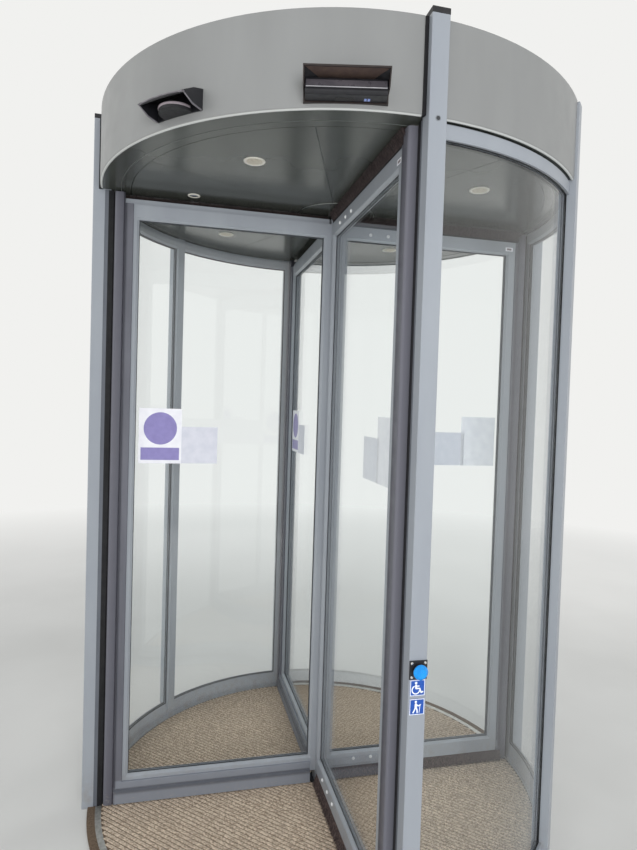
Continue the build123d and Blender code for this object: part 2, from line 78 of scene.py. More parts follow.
def in_scene(name, data):
    """A new object in the scene."""
    thing = bpy.data.objects.new(name, data)
    bpy.context.scene.collection.objects.link(thing)
    return thing


ORIGIN, UP = Vector((0, 0, 0)), Vector((0, 0, 1))
print("first wing's outer edge", [round(v, 3) for v in polar(STILE_OUT, WING_ANGLES[0], WING_HIGH)])

# %% [markdown]
# ## The camera
# The photographer stood to the right of the door with a wide lens held upright. Lens and place were
# worked out from the edges and arcs of the door, so the render can be laid over the photograph. The
# sensor is 36 mm on the long side of an upright picture.

# %% Camera
camera_data = bpy.data.cameras.new("camera")
camera = bpy.context.scene.camera = in_scene("camera", camera_data)
camera_right = Vector((0.85879, 0.51138, 0.03099))
camera_up = Vector((-0.04272, 0.01121, 0.99902))
camera_back = Vector((0.51054, -0.85928, 0.03148))
turn = Matrix((camera_right, camera_up, camera_back)).transposed().to_4x4()
camera.matrix_world = Matrix.Translation((1.23886, -2.17179, 1.53817)) @ turn
camera_data.sensor_width = 36.0
camera_data.lens = 617.23 / 850.0 * 36.0
camera_data.clip_start = 0.05
print("lens", round(camera_data.lens, 2), "mm")

# %% [markdown]
# ## Nodes and colours
# Every finish is a small tree of shader nodes. `add` makes a node, sets its options and links its
# inputs, and `linear` turns the hex colour that a designer would write into the linear light that the
# renderer works in. `start` opens a finish with its shader, and `mottle` mixes two shades by a noise
# whose grain is in millimetres, which nearly every real finish needs.

# %% Material helpers
finish = {}


def linear(code):
    """The linear colour of an sRGB hex code."""
    parts = [int(code[i:i + 2], 16) / 255 for i in (1, 3, 5)]
    return [c / 12.92 if c <= 0.04045 else ((c + 0.055) / 1.055) ** 2.4 for c in parts] + [1.0]


def add(tree, kind, inputs=None, **settings):
    """A new node with its settings; an input is a number, a socket or a node, for its first output."""
    node = tree.nodes.new(kind)
    for key, value in settings.items():
        setattr(node, key, value)
    for key, value in (inputs or {}).items():
        if isinstance(value, bpy.types.Node):
            value = value.outputs[0]
        if isinstance(value, bpy.types.NodeSocket):
            tree.links.new(value, node.inputs[key])
        else:
            node.inputs[key].default_value = value
    return node


def start(name, colour, roughness=0.5, metallic=0.0, ior=1.5):
    """A finish with one shader whose plain numbers are set on its own sockets."""
    material = finish[name] = bpy.data.materials.new(name)
    material.use_nodes = True
    shader = material.node_tree.nodes["Principled BSDF"]
    shader.inputs["Roughness"].default_value = roughness
    shader.inputs["Metallic"].default_value = metallic
    if not metallic:
        shader.inputs["IOR"].default_value = ior
    shader.inputs["Base Color"].default_value = linear(colour)
    material.diffuse_color = linear(colour)
    return material.node_tree, shader


def noise(tree, grain, stretch=(1, 1, 1), detail=3.0):
    """A noise over the piece itself, with a grain in millimetres, stretched along its axes."""
    place = add(tree, "ShaderNodeTexCoord").outputs["Object"]
    scale = [1000.0 / (grain * s) for s in stretch]
    mapped = add(tree, "ShaderNodeMapping", {"Vector": place, "Scale": scale})
    return add(tree, "ShaderNodeTexNoise", {"Vector": mapped, "Scale": 1.0, "Detail": detail}).outputs[0]


def between(tree, value, low, high, to_low=0.0, to_high=1.0):
    """A value brought from one range to another, and held there."""
    return add(tree, "ShaderNodeMapRange", {0: value, 1: low, 2: high, 3: to_low, 4: to_high}).outputs[0]


def mix(tree, factor, one, two):
    """A blend of two colours, each a hex code or a socket."""
    colours = {6: one, 7: two}
    inputs = {key: linear(c) if isinstance(c, str) else c for key, c in colours.items()}
    return add(tree, "ShaderNodeMix", {0: factor, **inputs}, data_type="RGBA").outputs[2]


def mottle(tree, grain, one, two, low=0.35, high=0.65, **more):
    """Two shades mixed over the surface by a noise."""
    return mix(tree, between(tree, noise(tree, grain, **more), low, high), one, two)


def calc(tree, operation, *values):
    """The result of one sum on numbers or sockets."""
    return add(tree, "ShaderNodeMath", dict(enumerate(values)), operation=operation).outputs[0]


def around(tree, value, middle, full, end):
    """1 within a distance of a value, fading to 0 at a second distance."""
    away = calc(tree, "ABSOLUTE", calc(tree, "SUBTRACT", value, middle))
    return between(tree, away, full, end, 1.0, 0.0)


def height_and_radius(tree):
    """The height over the floor and the radius from the axis, in metres."""
    place = add(tree, "ShaderNodeTexCoord").outputs["Object"]
    height = add(tree, "ShaderNodeSeparateXYZ", {0: place}).outputs[2]
    flat = add(tree, "ShaderNodeVectorMath", {0: place, 1: (1, 1, 0)}, operation="MULTIPLY")
    return height, add(tree, "ShaderNodeVectorMath", {0: flat}, operation="LENGTH").outputs["Value"]


def relief(tree, shader, height, depth, strength):
    """Small bumps: a height from 0 to 1 that stands for a depth in millimetres."""
    bump = add(tree, "ShaderNodeBump", {"Height": height, "Distance": depth * MM, "Strength": strength})
    tree.links.new(bump.outputs[0], shader.inputs["Normal"])


def give(tree, shader, colour, roughness=None):
    """Links a colour, and a roughness if it varies, to the shader."""
    tree.links.new(colour, shader.inputs["Base Color"])
    if roughness:
        tree.links.new(roughness, shader.inputs["Roughness"])


print("helpers ready")

# %% [markdown]
# ## Powder-coated aluminium
# The posts, rails and fascias are aluminium, sprayed with dry powder and baked. The film is satin: a
# soft, broad highlight, and from close by the fine orange-peel of melted powder, drawn at 3 mm since
# the real skin is finer than a pixel. Hands polish it in patches, and dust gathers near the floor.
# Along the bent lower edge of the fascias one pale line is painted in: a painted highlight of the bend.

# %% Satin coating
def satin_coating(name, base, shade, painted_highlight_edge=None):
    """Satin powder coating: soft highlight, faint patches, dust low down, and a painted highlight on the edge below a
    height.
    """
    tree, shader = start(name, base)
    tone = mottle(tree, 140.0, base, shade, stretch=(1, 1, 4))
    height = height_and_radius(tree)[0]
    if painted_highlight_edge:
        # Painted highlight: a pale band just under the given height, where the fascia's bend would catch the light.
        tone = mix(tree, between(tree, height, painted_highlight_edge - 1 * MM, painted_highlight_edge, 1.0, 0.0), tone, "#BEC0BE")
    patchy = between(tree, noise(tree, 22.0, detail=5.0), 0.42, 0.72)
    dust = calc(tree, "MULTIPLY", between(tree, height, 0.0, 0.16, 0.55, 0.0), patchy)
    give(tree, shader, mix(tree, dust, tone, "#8E877C"),
         between(tree, noise(tree, 70.0, detail=4.0), 0.3, 0.7, 0.34, 0.46))
    relief(tree, shader, noise(tree, 3.0, detail=2.0), 0.03, 0.5)


satin_coating("satin_powder_coating", "#9CA1A7", "#959AA1")
satin_coating("satin_fascia_coating", "#8D8E8D", "#878887", painted_highlight_edge=2303.5 * MM)
print("made", list(finish))

# %% [markdown]
# ## Clear float glass
# A thin pane hardly shifts what is behind it, so each face is a mix of a mirror and a see-through
# shader, weighed by Fresnel: nearly clear head-on, a mirror at a glancing angle. Iron makes it faintly
# green. The Fresnel node turns its index over when a face is met from inside the glass, and would see
# a total mirror there, so the index is turned over first.

# %% Glass
TINT, SMEAR = "#FDFEFE", 0.05
tree = start("clear_float_glass", TINT)[0]
tree.nodes.clear()
through = add(tree, "ShaderNodeBsdfTransparent", {"Color": linear(TINT)})
gloss = between(tree, noise(tree, 60.0, stretch=(1, 1, 2), detail=5.0), 0.4, 0.75, 0.0, SMEAR)
mirror = add(tree, "ShaderNodeBsdfGlossy", {"Color": linear("#FFFFFF"), "Roughness": gloss})
behind = add(tree, "ShaderNodeNewGeometry").outputs["Backfacing"]
share = add(tree, "ShaderNodeFresnel", {"IOR": between(tree, behind, 0.0, 1.0, 1.5, 1 / 1.5)})
both = add(tree, "ShaderNodeMixShader", {0: share, 1: through, 2: mirror})
add(tree, "ShaderNodeOutputMaterial", {"Surface": both})
finish["clear_float_glass"].diffuse_color = linear(TINT)[:3] + [0.3]
print("glass, tint", TINT)

# %% [markdown]
# ## The rubber safety edge
# Along the outer edge and the foot of each wing runs an extruded rubber profile with a switch inside:
# a broad bulb, a soft valley and a flat flange, slate grey with a trace of purple. A painted highlight
# lightens the bulb's crest and a painted shade darkens it towards the valley, which lies at a radius on
# the upright run and at a height on the foot, so the shader works out both. Painted light brightens the
# low foot, and shoes scuff it.

# %% Safety-edge rubber
tree, shader = start("extruded_safety_rubber", "#63656D", ior=1.52)
height, radius = height_and_radius(tree)
below, upright = between(tree, radius, 0.800, 0.806, 1.0, 0.0), between(tree, height, 0.066, 0.074)
# Painted shade: a mask for the valley, at a radius on the upright run and at a height on the foot.
painted_valley_shade = calc(tree, "MAXIMUM", calc(tree, "MULTIPLY", around(tree, radius, 0.8035, 0.0015, 0.009), upright),
              calc(tree, "MULTIPLY", around(tree, height, 0.0575, 0.004, 0.013), below))
tone = mottle(tree, 45.0, "#696A72", "#5F6068", stretch=(1, 1, 6), detail=5.0)
# Painted highlight: the bulb is lighter towards its crest and darker towards the valley.
painted_crest_highlight = mix(tree, between(tree, radius, 0.804, 0.838, 0.0, 0.55), "#4E4E57", "#75757D")
bulb = mix(tree, between(tree, radius, 0.8045, 0.8065), tone, painted_crest_highlight)
inwards = between(tree, radius, 0.798, 0.804, 1.0, 0.0)
# Painted light: below about 94 mm the foot's bulb is made paler.
painted_foot_light = mix(tree, calc(tree, "MULTIPLY", between(tree, height, 0.100, 0.094, 0.0, 0.8), inwards), bulb, "#878C94")
shaded = mix(tree, calc(tree, "MULTIPLY", painted_valley_shade, 0.62), painted_foot_light, "#34343C")
patches = between(tree, noise(tree, 16.0, stretch=(1, 1, 0.4), detail=6.0), 0.58, 0.74)
scuffs = calc(tree, "MULTIPLY", patches, between(tree, height, 0.02, 0.075, 0.5, 0.0))
give(tree, shader, mix(tree, scuffs, shaded, "#9A958E"), between(tree, noise(tree, 30.0), 0.3, 0.7, 0.46, 0.6))
relief(tree, shader, noise(tree, 5.0, stretch=(1, 1, 8)), 0.06, 0.4)
print("safety rubber", len(tree.nodes), "nodes")

# %% [markdown]
# ## The seals of the posts
# The strip in each post's recess is soft black rubber towards the passing wings. Its outer band, in
# the post, is painted slate: the post's grey darkened by a painted shade. Their border is a radius, and
# the gaskets beside the fascias, farther out, are black again.

# %% Post seal rubber
tree, shader = start("sealing_rubber_painted_shade", "#1A1A1E", 0.62)
height, radius = height_and_radius(tree)
# Painted shade: a slate band at the outer radius, standing for the post's grey in shade.
painted_shade_band = around(tree, radius, 0.8715, 0.007, 0.008)
black = mottle(tree, 30.0, "#131317", "#0D0D10", stretch=(1, 1, 5))
give(tree, shader, mix(tree, painted_shade_band, black, mottle(tree, 40.0, "#666A71", "#5C6067", stretch=(1, 1, 5))),
     between(tree, noise(tree, 25.0), 0.3, 0.7, 0.55, 0.7))
relief(tree, shader, noise(tree, 3.0, stretch=(1, 1, 5)), 0.04, 0.5)
print("seal rubber", len(tree.nodes), "nodes")

# %% [markdown]
# ## Darker rubbers, plastics and metals
# The other finishes are simple: a colour that changes a little over the surface, a roughness and a
# fine relief. One table holds them, because only the numbers differ.

# %% Simple finishes
FINISHES = {
    # name: shade one, shade two, grain mm, roughness low and high, metallic, relief grain mm, relief depth mm
    "black_sealing_rubber": ("#18181B", "#101013", 30, (0.55, 0.7), 0, 2.5, 0.05),
    "glazing_gasket_rubber": ("#1E1F22", "#17181B", 25, (0.5, 0.65), 0, 2.5, 0.03),
    "moulded_black_plastic": ("#232327", "#1C1C20", 18, (0.3, 0.4), 0, 6, 0.004),
    "textured_black_plastic": ("#2A2A2D", "#202022", 14, (0.5, 0.62), 0, 1.6, 0.06),
    # Black sheet whose brown tint is a painted reflection of its surroundings.
    "black_sheet_painted_reflection": ("#2E2624", "#261F1E", 25, (0.3, 0.42), 0, 2, 0.02),
    # Brown under the rain hood: a painted reflection.
    "painted_brown_reflection": ("#66564F", "#5A4C48", 20, (0.35, 0.5), 0, 3, 0.01),
    # Grey of the radar hood's edge bead: a painted highlight.
    "painted_lip_highlight": ("#767378", "#646166", 15, (0.3, 0.42), 0, 2, 0.01),
    # Pale rim of the radar head: a painted highlight.
    "painted_rim_highlight": ("#8E858A", "#7B7378", 15, (0.3, 0.42), 0, 2, 0.01),
    # Paler upper face of the bar sensor: a painted reflection.
    "painted_reflection_plastic": ("#565257", "#4A474C", 30, (0.25, 0.35), 0, 6, 0.004),
    # Crease of the bar sensor: a painted highlight.
    "painted_crease_highlight": ("#A9A8AB", "#98979A", 30, (0.15, 0.25), 0, 4, 0.005),
    "dark_sensor_window": ("#100D12", "#0C0A0E", 9, (0.06, 0.12), 0, 3, 0.005),
    "pale_blue_lens": ("#9FB2EC", "#8BA0E4", 4, (0.12, 0.2), 0, 2, 0.01),
    "glossy_blue_plastic": ("#0A97EA", "#058CE0", 12, (0.16, 0.24), 0, 3, 0.01),
    "printed_blue_plate": ("#1B55B0", "#184CA3", 14, (0.3, 0.42), 0, 3, 0.01),
    "white_print": ("#F4F6FA", "#E8EEF6", 9, (0.35, 0.45), 0, 2, 0.01),
    "worn_aluminium": ("#D6D6D2", "#BDBDB8", 12, (0.5, 0.66), 1, 2, 0.03),
    "bearing_steel": ("#55575A", "#47494C", 10, (0.4, 0.55), 1, 3, 0.02),
    "stainless_steel": ("#F0F0EE", "#E2E2E0", 8, (0.2, 0.3), 1, 3, 0.004),
    # Near white on a non-metal: a painted reflection standing for the bolts' chrome.
    "painted_chrome_reflection": ("#F4F5F4", "#E9EAEA", 8, (0.2, 0.3), 0, 3, 0.004),
    "bright_chrome": ("#E2E3E4", "#D2D3D4", 10, (0.06, 0.14), 1, 4, 0.01),
    "white_lamp_trim": ("#E4E1D8", "#D9D5CB", 16, (0.35, 0.5), 0, 2, 0.02),
    "frosted_lamp_lens": ("#CFC8B8", "#BDB6A6", 8, (0.4, 0.5), 0, 1.6, 0.08),
    "screw_cap_plastic": ("#85898D", "#7A7E82", 6, (0.4, 0.5), 0, 2, 0.01),
    # Painted shade: the dark of a screw recess, on a flat disc.
    "painted_recess_shade": ("#3A3D40", "#323437", 6, (0.4, 0.5), 0, 2, 0.01),
    "ceiling_bead": ("#626764", "#575C59", 40, (0.3, 0.4), 0, 3, 0.01),
    "cover_rim_metal": ("#B9BCBA", "#A6A9A7", 20, (0.25, 0.35), 1, 3, 0.01),
    "white_vinyl": ("#F2F2F6", "#E9E9EF", 30, (0.4, 0.5), 0, 4, 0.02),
    "lilac_vinyl": ("#9189BE", "#8981B6", 25, (0.4, 0.5), 0, 4, 0.02),
    "grey_print": ("#8F8688", "#857C7F", 20, (0.4, 0.5), 0, 4, 0.02),
    "pale_grey_vinyl": ("#D9DAE3", "#D0D2DC", 30, (0.4, 0.5), 0, 4, 0.02),
}
for name, (one, two, grain, rough, metallic, fine, depth) in FINISHES.items():
    tree, shader = start(name, one, rough[0], metallic)
    give(tree, shader, mottle(tree, grain, one, two),
         between(tree, noise(tree, grain * 0.7, detail=5.0), 0.3, 0.7, *rough))
    relief(tree, shader, noise(tree, fine), depth, 0.5)
print("finishes so far", len(finish))

# %% [markdown]
# ## Ceiling paint, roof steel and dark brush fibre
# The canopy's underside is dark grey-green, glossy enough to mirror the brushes and rails under it, a
# little blurred. The roof and the beams above it are zinc-coated steel: the zinc sets in crystals some
# 12 mm wide, which a Voronoi pattern draws. The brush fibre is dark brown nylon, patchy with dust; the
# brushes above one metre are darkened by a painted shade, as they lie in the canopy's shadow.

# %% Ceiling, steel, fibre
tree, shader = start("satin_ceiling_paint", "#4E534F")
give(tree, shader, mottle(tree, 160.0, "#494C47", "#434642", low=0.25, high=0.75, detail=1.0),
     between(tree, noise(tree, 110.0, detail=1.0), 0.2, 0.8, 0.19, 0.22))
relief(tree, shader, noise(tree, 60.0), 0.01, 0.2)

tree, shader = start("zinc_coated_steel", "#9A9C9E", 0.4, 1.0)
place = add(tree, "ShaderNodeTexCoord").outputs["Object"]
crystal = add(tree, "ShaderNodeTexVoronoi", {"Vector": place, "Scale": 1000.0 / 12.0}).outputs["Color"]
shade = add(tree, "ShaderNodeSeparateColor", {0: crystal}).outputs[0]
give(tree, shader, mix(tree, shade, "#8A8C8F", "#A9ABAD"), between(tree, shade, 0, 1, 0.32, 0.5))

tree, shader = start("dark_brush_fibre", "#3A2C2E", 0.7)
speckle = mottle(tree, 3.5, "#2A2020", "#6E5D58", low=0.42, high=0.66, stretch=(1, 1, 3), detail=2.0)
dusty = mix(tree, between(tree, noise(tree, 60.0), 0.35, 0.7, 0, 0.5), speckle, "#3B2E2E")
# Painted shade: above one metre the fibre is darkened, for the brushes under the canopy.
painted_top_shade = between(tree, height_and_radius(tree)[0], 1.0, 1.1, 0.0, 0.62)
give(tree, shader, mix(tree, painted_top_shade, dusty, "#1C1114"))
shader.inputs["Sheen Weight"].default_value = 0.08
print("made", list(finish)[-3:])

# %% [markdown]
# ## Entrance matting
# The mat is a ribbed textile: rows of looped brown and beige yarn on a dark backing. The colour comes
# in flecks about 5 mm wide, stretched along the rib, over slow patches of wear.

# %% Mat yarn
tree, shader = start("looped_mat_yarn", "#8C7A68", 0.9)
flecks = mottle(tree, 5.0, "#8D7964", "#E6D3BB", low=0.36, high=0.64, stretch=(1.3, 1, 1), detail=4.0)
give(tree, shader, mix(tree, between(tree, noise(tree, 170.0, detail=4.0), 0.35, 0.7, 0.0, 0.3), flecks, "#B0A08E"))
shader.inputs["Sheen Weight"].default_value = 0.2
relief(tree, shader, noise(tree, 4.5, stretch=(1.4, 1, 1), detail=4.0), 1.6, 0.8)

tree, shader = start("mat_backing", "#4A3D32", 0.95)
give(tree, shader, mottle(tree, 6.0, "#54463A", "#7A6856", detail=4.0))
relief(tree, shader, noise(tree, 3.0, detail=4.0), 0.6, 0.6)
print("made", list(finish)[-2:], "finishes", len(finish))

# %% [markdown]
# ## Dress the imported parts
# A part whose shape is right keeps its mesh: only the material in its slot changes. The table says
# which finish each part has, and the loop stops at a part that it leaves out.

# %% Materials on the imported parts
dressing = {
    "satin_powder_coating": ["corner_posts", "middle_posts", "bottom_rails", "top_rails", "centre_column"],
    "satin_fascia_coating": ["passage_fascias", "side_fascias"],
    "clear_float_glass": ["wall_glass", "wing_glass"],
    "sealing_rubber_painted_shade": ["post_seals"],
    "textured_black_plastic": ["post_caps", "radar_head", "button_plate"],
    "moulded_black_plastic": ["radar_hood", "bar_sensor"],
    "black_sheet_painted_reflection": ["rain_hood"],
    "worn_aluminium": ["threshold_rings"],
    "bearing_steel": ["floor_bearing"],
    "mat_backing": ["floor_mat"],
    "satin_ceiling_paint": ["soffit_ring", "ceiling_panels", "centre_cover"],
    "white_lamp_trim": ["downlights"],
    "bright_chrome": ["ceiling_detectors"],
    "zinc_coated_steel": ["canopy_beams", "drive_unit", "canopy_roof"],
    "glossy_blue_plastic": ["push_button"],
    "printed_blue_plate": ["pictogram_plates"],
    "extruded_safety_rubber": [],
    "dark_brush_fibre": [],
}
for number in range(1, 5):
    dressing["satin_powder_coating"] += [f"wing_{number}_stiles", f"wing_{number}_rails"]
    dressing["extruded_safety_rubber"].append(f"wing_{number}_edge_seal")
    dressing["dark_brush_fibre"].append(f"wing_{number}_brushes")
wanted = {part: finish[name] for name, parts in dressing.items() for part in parts}
for name, node in nodes.items():
    node.data.materials[0] = wanted[name]
    node.material_slots[0].material = wanted[name]
print("dressed", len(wanted), "parts with", len(dressing), "finishes")

# %% [markdown]
# ## New pieces
# A new piece is a mesh in its real place, on an object at the origin. `place_piece` makes the object
# and names the body that carries it. `skin` closes rings of points, `bar` is a box laid
# out along a radius, and `turned` spins a profile round an axis, as on a lathe.

# %% Piece helpers
def place_piece(name, mesh, body, slot, *finishes):
    """An object for a finished mesh with its finishes, carried by a body."""
    for one in finishes:
        mesh.materials.append(finish[one])
    mesh.name = name
    piece = in_scene(name, mesh)
    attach(piece, body)
    return piece


def as_mesh(work, smooth=False):
    """The finished mesh of a bmesh, with its faces turned outwards."""
    bmesh.ops.recalc_face_normals(work, faces=work.faces)
    mesh = bpy.data.meshes.new("made")
    work.to_mesh(mesh)
    work.free()
    if smooth:
        mesh.shade_smooth()
        mesh.set_sharp_from_angle(angle=math.radians(35))
    return mesh


def skin(work, rings, slot=0):
    """A closed skin over rings of points: faces between them, and a cap at each end."""
    rings = [[work.verts.new(point) for point in ring] for ring in rings]
    faces = [rings[0], rings[-1]]
    for one, two in zip(rings, rings[1:]):
        faces += [(one[i - 1], one[i], two[i], two[i - 1]) for i in range(len(one))]
    for corners in faces:
        work.faces.new(corners).material_index = slot


def bar(work, angle, along, across, heights, slot=0, lean=0.0, rake=0.0):
    """A box along a radius: from-to along it, across it and in height, in mm.

    Lean shifts its second end across, and rake shifts it along the radius.
    """
    base = [(r, across[side]) for side, run in ((0, along), (1, along[::-1])) for r in run]
    skin(work, [[polar(r + rake * up, angle, heights[up], t + lean * up) for r, t in base] for up in (0, 1)], slot)


def turned(work, profile, centre, axis, steps, slot=0, change=None):
    """A profile of (radius, height) in mm, spun round an axis through a point.

    From the profile's point number `change` on, the faces have the next material slot.
    """
    axis = axis.normalized()
    side = axis.orthogonal().normalized()
    other = axis.cross(side)
    rings = []
    for radius, height in profile:
        at = centre + axis * height * MM
        if radius == 0:
            rings.append([work.verts.new(at)])
            continue
        spokes = [math.tau * i / steps for i in range(steps)]
        spread = [(side * math.cos(s) + other * math.sin(s)) * radius * MM for s in spokes]
        rings.append([work.verts.new(at + away) for away in spread])
    for number, (low, high) in enumerate(zip(rings, rings[1:])):
        slot += number == change
        for i in range(steps):
            j = (i + 1) % steps
            ring = [low[i % len(low)], low[j % len(low)], high[j % len(high)], high[i % len(high)]]
            corners = list(dict.fromkeys(ring))
            if len(corners) > 2:
                work.faces.new(corners).material_index = slot


print("piece helpers ready")

# %% [markdown]
# ## Geometry Nodes for what repeats
# Ribs, bristles, screws and gaskets all repeat a small shape or follow a line, so a node tree makes
# them. `tree_with` opens a tree with named inputs, and `grow` runs it on a starting mesh and keeps the
# result as a plain mesh.

# %% Tree helpers
def tree_with(name, **inputs):
    """A new geometry tree with named inputs; None stands for a material."""
    tree = bpy.data.node_groups.new(name, "GeometryNodeTree")
    tree.interface.new_socket("Geometry", in_out="INPUT", socket_type="NodeSocketGeometry")
    kinds = {int: "NodeSocketInt", float: "NodeSocketFloat", type(None): "NodeSocketMaterial"}
    for label, value in inputs.items():
        socket = tree.interface.new_socket(label, in_out="INPUT", socket_type=kinds[type(value)])
        if value is not None:
            socket.default_value = value
    tree.interface.new_socket("Geometry", in_out="OUTPUT", socket_type="NodeSocketGeometry")
    return tree, tree.nodes.new("NodeGroupInput").outputs


def close_tree(tree, shape, material):
    """The end of every tree: real meshes instead of instances, and their material."""
    real = add(tree, "GeometryNodeRealizeInstances", {"Geometry": shape})
    add(tree, "NodeGroupOutput", {"Geometry": add(tree, "GeometryNodeSetMaterial", {0: real, "Material": material})})
    return tree


def grow(start_mesh, tree, **inputs):
    """Runs a tree on a mesh and returns the plain mesh it makes."""
    maker = in_scene("maker", start_mesh)
    modifier = maker.modifiers.new("grow", "NODES")
    modifier.node_group = tree
    for item in tree.interface.items_tree:
        if item.in_out == "INPUT" and item.name in inputs:
            modifier[item.identifier] = inputs[item.name]
    evaluated = maker.evaluated_get(bpy.context.evaluated_depsgraph_get())
    mesh = bpy.data.meshes.new_from_object(evaluated)
    bpy.data.objects.remove(maker)
    return mesh


def lines(runs):
    """A mesh of open or closed lines; a run ends on its first point to close."""
    mesh = bpy.data.meshes.new("lines")
    points, edges = [], []
    for run in runs:
        closed = (run[0] - run[-1]).length < 1e-9
        body = run[:-1] if closed else run
        first = len(points)
        points += body
        edges += [(first + i, first + i + 1) for i in range(len(body) - 1)]
        if closed:
            edges.append((first + len(body) - 1, first))
    mesh.from_pydata(points, edges, [])
    return mesh


print("tree helpers ready")

# %% [markdown]
# ## The ribbed mat
# Each rib is one rounded bar. The tree lays a point for every rib along Y, works out the chord of the
# round mat there by Pythagoras, and stretches the bar to that length. The ribs lie parallel to the
# facade.

# %% Mat ribs
RIB_PITCH, RIB_WIDTH, RIB_HEIGHT, MAT_RADIUS, MAT_TOP = 17.05, 13.4, 2.2, 842.0, 5.0

tree, size = tree_with("mat_ribs", Count=99, Pitch=RIB_PITCH * MM, Radius=MAT_RADIUS * MM, Material=None)
reach = calc(tree, "MULTIPLY", calc(tree, "SUBTRACT", size["Count"], 1.0), size["Pitch"])
origin = add(tree, "ShaderNodeCombineXYZ", {"Y": calc(tree, "MULTIPLY", reach, -0.5), "Z": MAT_TOP * MM})
step = add(tree, "ShaderNodeCombineXYZ", {"Y": size["Pitch"]})
row = add(tree, "GeometryNodeMeshLine", {"Count": size["Count"], "Start Location": origin, "Offset": step})
here = add(tree, "ShaderNodeSeparateXYZ", {0: add(tree, "GeometryNodeInputPosition")}).outputs[1]
whole, square = (calc(tree, "MULTIPLY", value, value) for value in (size["Radius"], here))
chord = calc(tree, "SQRT", calc(tree, "SUBTRACT", whole, square))
stretch = add(tree, "ShaderNodeCombineXYZ", {"X": chord, "Y": 1.0, "Z": 1.0})
shape = add(tree, "GeometryNodeObjectInfo").outputs["Geometry"]
ribs = add(tree, "GeometryNodeInstanceOnPoints", {"Points": row, "Instance": shape, "Scale": stretch})
rib_tree = close_tree(tree, ribs, size["Material"])

work = bmesh.new()
half = [(0.5, -0.3), (0.5, 0.55), (0.36, 0.88), (0.12, 1.0)]
section = [(-y, z) for y, z in half] + half[::-1]
skin(work, [[(x, y * RIB_WIDTH * MM, z * RIB_HEIGHT * MM) for y, z in section] for x in (-1.0, 1.0)])
shape.node.inputs["Object"].default_value = bpy.data.objects.new("one_rib", as_mesh(work, smooth=True))
seed_line = lines([[ORIGIN, UP * MM]])
ribs = grow(seed_line, rib_tree, Material=finish["looped_mat_yarn"])
mat_ribs = place_piece("mat_ribs", ribs, "drum", "entrance_mat")
print("mat ribs", len(mat_ribs.data.polygons), "faces")

# %% [markdown]
# ## Small strips beside the posts
# On the outer edge of each passage's metal ring lies a strip of dark brown textile, which stops the
# grit of the street. From the black part of each post's seal a thin fin of rubber reaches towards the
# passing wing, so that no light shows between them.

# %% Grit strips and seal fins
STRIP_IN, STRIP_OUT, STRIP_TOP = 868.0, 896.0, 6.6
FIN_REACH, FIN_ROOT, SEAL_LOW, SEAL_HIGH = 842.3, 846.4, 12.0, 2296.0
PASSAGE = 180.0 + 2 * POST_ANGLE
section = ((STRIP_IN, 0.3), (STRIP_OUT, 0.3), (STRIP_OUT, STRIP_TOP - 1), (STRIP_OUT - 1.5, STRIP_TOP),
           (STRIP_IN, STRIP_TOP))
work = bmesh.new()
for first in (POST_ANGLE, 180 + POST_ANGLE):
    sweep = [first - PASSAGE * i / 48 for i in range(49)]
    skin(work, [[polar(r, a, z) for r, z in section] for a in sweep])
grit_strips = place_piece("passage_grit_strips", as_mesh(work), "drum", "entrance_mat", "mat_backing")

work = bmesh.new()
for angle, side in POSTS:
    bar(work, angle, (FIN_REACH, FIN_ROOT), (side * 8, side * 16), (SEAL_LOW, SEAL_HIGH))
fins = place_piece("post_seal_fins", as_mesh(work), "drum", "black_rubber", "black_sealing_rubber")
print("strips and fins", grit_strips.name, fins.name)

# %% [markdown]
# ## Gaskets round the panes
# A strip of black rubber presses each pane into its frame, and shows as a thin dark line on both
# faces. One tree sweeps a small round bead along any line: rectangles on the wings, and on the drum
# loops that follow the curve of the pane.

# %% Gasket tree and wing gaskets
tree, size = tree_with("gasket_bead", Radius=0.003, Sides=8, Material=None)
path = add(tree, "GeometryNodeMeshToCurve", {"Mesh": size["Geometry"]})
ring = add(tree, "GeometryNodeCurvePrimitiveCircle", {"Resolution": size["Sides"], "Radius": size["Radius"]})
bead = add(tree, "GeometryNodeCurveToMesh", {"Curve": path, "Profile Curve": ring, "Fill Caps": True})
bead_tree = close_tree(tree, add(tree, "GeometryNodeSetShadeSmooth", {"Geometry": bead}), size["Material"])


def beads(name, runs, radius, material, body, slot, sides=8):
    """A piece of round beads along lines, with a radius in mm."""
    made = grow(lines(runs), bead_tree, Radius=radius * MM, Sides=sides, Material=finish[material])
    return place_piece(name, made, body, slot)


inner, outer, low, high = SIGHT_IN + 0.6, SIGHT_OUT - 0.6, SIGHT_LOW + 0.6, SIGHT_HIGH - 0.6
corners = ((inner, low), (outer, low), (outer, high), (inner, high), (inner, low))
loops = [[polar(r, angle, z, side * (PANE_FACE + 1.2)) for r, z in corners]
         for angle in WING_ANGLES for side in (-1, 1)]
wing_gaskets = beads("wing_glazing_gaskets", loops, 1.3, "glazing_gasket_rubber", "rotor", "black_rubber")
print("wing gaskets", len(loops), "loops", len(wing_gaskets.data.polygons), "faces")

# %% [markdown]
# ## Gaskets of the curved panes
# The four curved panes stand between a corner post and a middle post. Their gaskets are the same
# bead, laid out by angle and height on both faces of the glass.

